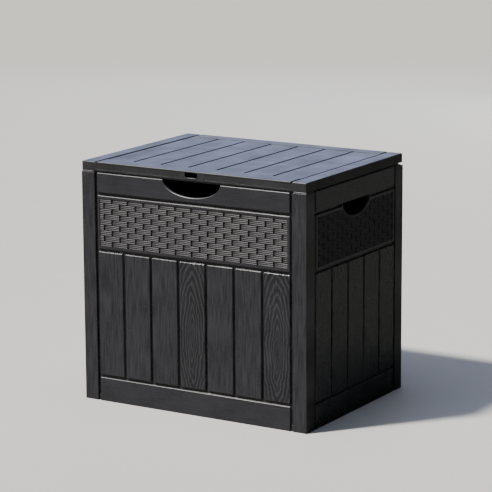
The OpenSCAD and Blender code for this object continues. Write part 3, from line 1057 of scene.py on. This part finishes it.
@dataclass(frozen=True)
class SoftLamp:
    """A square soft light that faces the middle of the box."""

    name: str
    place: tuple[float, float, float]
    size: float
    power: float
    tint: str = "#FFFFFF"
    aim: tuple[float, float, float] = (0.0, 0.0, 0.25)

    def hang(self) -> None:
        """Hangs the lamp in the studio."""
        light = bpy.data.lights.new(self.name, "AREA")
        light.size = self.size
        light.energy = self.power
        light.color = linear_rgb(self.tint)[:3]
        lamp = linked(self.name, light)
        lamp.location = self.place
        lamp.rotation_euler = (Vector(self.aim) - Vector(self.place)).to_track_quat("-Z", "Y").to_euler()


@dataclass
class Studio:
    """A pale floor, soft light with a sun-like key from the upper left, and the camera."""

    eye: tuple[float, float, float] = (2.5907, -4.2452, 1.3855)
    yaw: float = -0.5470  # in radians, as pitch and roll are
    pitch: float = -0.2088
    roll: float = -0.0057
    lens: float = 170.0
    sensor: float = 36.0
    floor_half: float = 60.0  # so wide that its far edge lies at the horizon
    floor_colour: str = "#AAAAA7"
    floor_roughness: float = 0.8
    # The floor's colour as the box's reflections see it: a painted reflection
    reflected_floor: str = "#3C3E3A"
    sky_colour: str = "#E4E8EE"
    sky_strength: float = 0.06
    sun_ray: tuple[float, float, float] = (1.8, 2.2, -3.75)
    sun_power: float = 9.5
    sun_width: float = math.radians(5)  # wider than the real sun, so that its shadows have soft edges
    sun_tint: str = "#FFFAF4"
    lamps: tuple[SoftLamp, ...] = (
        SoftLamp("overhead", (0.0, -0.2, 3.4), 1.8, 60, "#DCE4FF"),
        SoftLamp("sky", (-2.4, 4.4, 1.9), 2.6, 34, "#C6D3FF"),
        SoftLamp("rear", (-0.55, 4.5, 0.7), 1.6, 24),
    )

    def make_camera(self) -> None:
        """Places the camera in front of the box, to its right and above it."""
        ahead = Vector(
            (
                math.sin(self.yaw) * math.cos(self.pitch),
                math.cos(self.yaw) * math.cos(self.pitch),
                math.sin(self.pitch),
            )
        )
        right = Vector((math.cos(self.yaw), -math.sin(self.yaw), 0.0))
        up = right.cross(ahead)
        side = math.cos(self.roll) * right + math.sin(self.roll) * up
        top = math.cos(self.roll) * up - math.sin(self.roll) * right
        lens = bpy.data.cameras.new("camera")
        lens.lens = self.lens
        lens.sensor_width = self.sensor
        camera = linked("camera", lens)
        turn = Matrix((side, top, -ahead)).transposed().to_4x4()
        camera.matrix_world = Matrix.Translation(self.eye) @ turn
        bpy.context.scene.camera = camera

    def make_floor(self) -> None:
        """Lays a plain pale floor, which the box's glossy reflections see painted dark."""
        mesh = bpy.data.meshes.new("floor")
        far = self.floor_half
        mesh.from_pydata([(-far, -far, 0), (far, -far, 0), (far, far, 0), (-far, far, 0)], [], [(0, 1, 2, 3)])
        material = bpy.data.materials.new("painted_floor")
        material.use_nodes = True
        tree = material.node_tree
        shader = tree.nodes["Principled BSDF"]
        shader.inputs["Base Color"].default_value = linear_rgb(self.floor_colour)
        shader.inputs["Roughness"].default_value = self.floor_roughness
        # Glossy rays see a dark floor in place of the pale one: a painted reflection, as dark as the ground
        # the box would stand on outdoors, that darkens the box's faces
        ray = add_node(tree, "ShaderNodeLightPath").outputs["Is Glossy Ray"]
        dark = add_node(tree, "ShaderNodeBsdfDiffuse", Color=linear_rgb(self.reflected_floor)).outputs[0]
        seen = add_node(tree, "ShaderNodeMixShader", _0=ray, _1=shader.outputs[0], _2=dark).outputs[0]
        tree.links.new(seen, tree.nodes["Material Output"].inputs["Surface"])
        mesh.materials.append(material)
        floor = linked("floor", mesh)

    def make_sky(self) -> None:
        """Fills the studio with a faint even light."""
        world = bpy.data.worlds.new("studio")
        world.use_nodes = True
        background = world.node_tree.nodes["Background"]
        background.inputs["Color"].default_value = linear_rgb(self.sky_colour)
        background.inputs["Strength"].default_value = self.sky_strength
        bpy.context.scene.world = world

    def make_sun(self) -> None:
        """Hangs the key light, a sun to the upper left."""
        light = bpy.data.lights.new("key", "SUN")
        light.energy = self.sun_power
        light.angle = self.sun_width
        light.color = linear_rgb(self.sun_tint)[:3]
        linked("key", light).rotation_euler = Vector(self.sun_ray).to_track_quat("-Z", "Y").to_euler()

    def make(self) -> None:
        """Sets up the whole studio."""
        self.make_camera()
        self.make_floor()
        self.make_sky()
        self.make_sun()
        for lamp in self.lamps:
            lamp.hang()


def main() -> None:
    """Builds the box and its studio."""
    logging.basicConfig(level=logging.INFO, format="%(name)s: %(message)s")
    Body().make()
    Lid().make()
    Studio().make()


if __name__ == "__main__":
    main()
